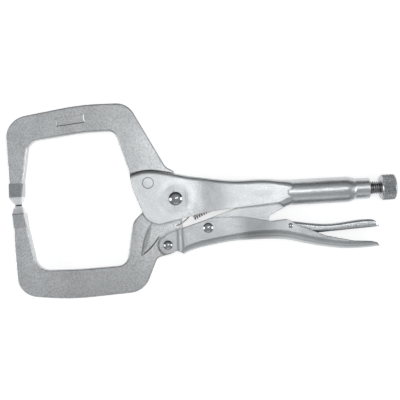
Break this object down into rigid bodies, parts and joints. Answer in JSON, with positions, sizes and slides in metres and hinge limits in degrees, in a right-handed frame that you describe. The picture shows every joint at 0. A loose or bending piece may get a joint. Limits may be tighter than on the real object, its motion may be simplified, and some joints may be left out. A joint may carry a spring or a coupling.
{
  "type": "locking c-clamp pliers",
  "caption": "Locking pliers with C-shaped clamp jaws, over-centre toggle link, release lever and a knurled adjusting screw; jaws closed and locked.",
  "frame": {"origin": "the point where the two jaw tips meet, on the mid-plane of the pliers", "axes": "+X along the adjusting screw towards the knob, +Y towards the fixed jaw, +Z across the pliers (its thickness)"},
  "size_m": [0.2777, 0.1382, 0.0186],
  "materials": {
    "jaw_forging": "satin plated drop forging with a fine grain",
    "handle_sheet": "satin plated pressed sheet",
    "link_plate": "plated blanked plate",
    "release_sheet": "plated pressed sheet",
    "rivet_head": "bright plated, polished dome",
    "flush_rivet": "satin plated, ground flush",
    "screw_thread": "bright plated rolled thread",
    "knob_knurl": "bright plated diamond knurl",
    "spring_wire": "drawn spring wire"
  },
  "bodies": {
    "handle_body": {"upper_handle": "handle_sheet", "fixed_jaw": "jaw_forging", "jaw_fixing_rivet": "flush_rivet", "main_pivot_rivet": "rivet_head", "tension_spring": "spring_wire"},
    "jaw_body": {"movable_jaw": "jaw_forging"},
    "lever_body": {"lower_lever": "handle_sheet", "lever_rivet": "rivet_head", "link_rivet": "rivet_head", "release_pin": "rivet_head"},
    "link_body": {"toggle_link": "link_plate"},
    "release_body": {"release_lever": "release_sheet"},
    "screw_body": {"adjusting_screw": "screw_thread"},
    "knob_body": {"adjusting_knob": "knob_knurl"}
  },
  "joints": [
    {"name": "jaw_hinge", "type": "hinge", "parent": "handle_body", "child": "jaw_body", "pos_m": [0.1132, -0.0014, 0], "axis": [0, 0, 1], "range_deg": [0, 22], "deforming": ["tension_spring"]},
    {"name": "lever_hinge", "type": "hinge", "parent": "jaw_body", "child": "lever_body", "pos_m": [0.1059, -0.0343, 0], "axis": [0, 0, 1], "range_deg": [-62.9, 0]},
    {"name": "link_hinge", "type": "hinge", "parent": "lever_body", "child": "link_body", "pos_m": [0.1352, -0.0234, 0], "axis": [0, 0, 1], "range_deg": [0, 63.1]},
    {"name": "release_hinge", "type": "hinge", "parent": "lever_body", "child": "release_body", "pos_m": [0.1938, -0.0252, 0], "axis": [0, 0, 1], "range_deg": [-7, 0]},
    {"name": "screw_travel", "type": "slide", "parent": "handle_body", "child": "screw_body", "axis": [1, 0, 0], "range_m": [0, 0.02]},
    {"name": "knob_spin", "type": "hinge", "parent": "screw_body", "child": "knob_body", "pos_m": [0.2662, -0.0016, 0], "axis": [1, 0, 0], "range_deg": [0, 4537]}
  ],
  "couplings": [
    {"joint": "lever_hinge", "follows": "jaw_hinge", "ratio": -2.858},
    {"joint": "link_hinge", "follows": "jaw_hinge", "ratio": 2.863},
    {"joint": "knob_spin", "follows": "screw_travel", "rad_per_m": 3957.9}
  ]
}
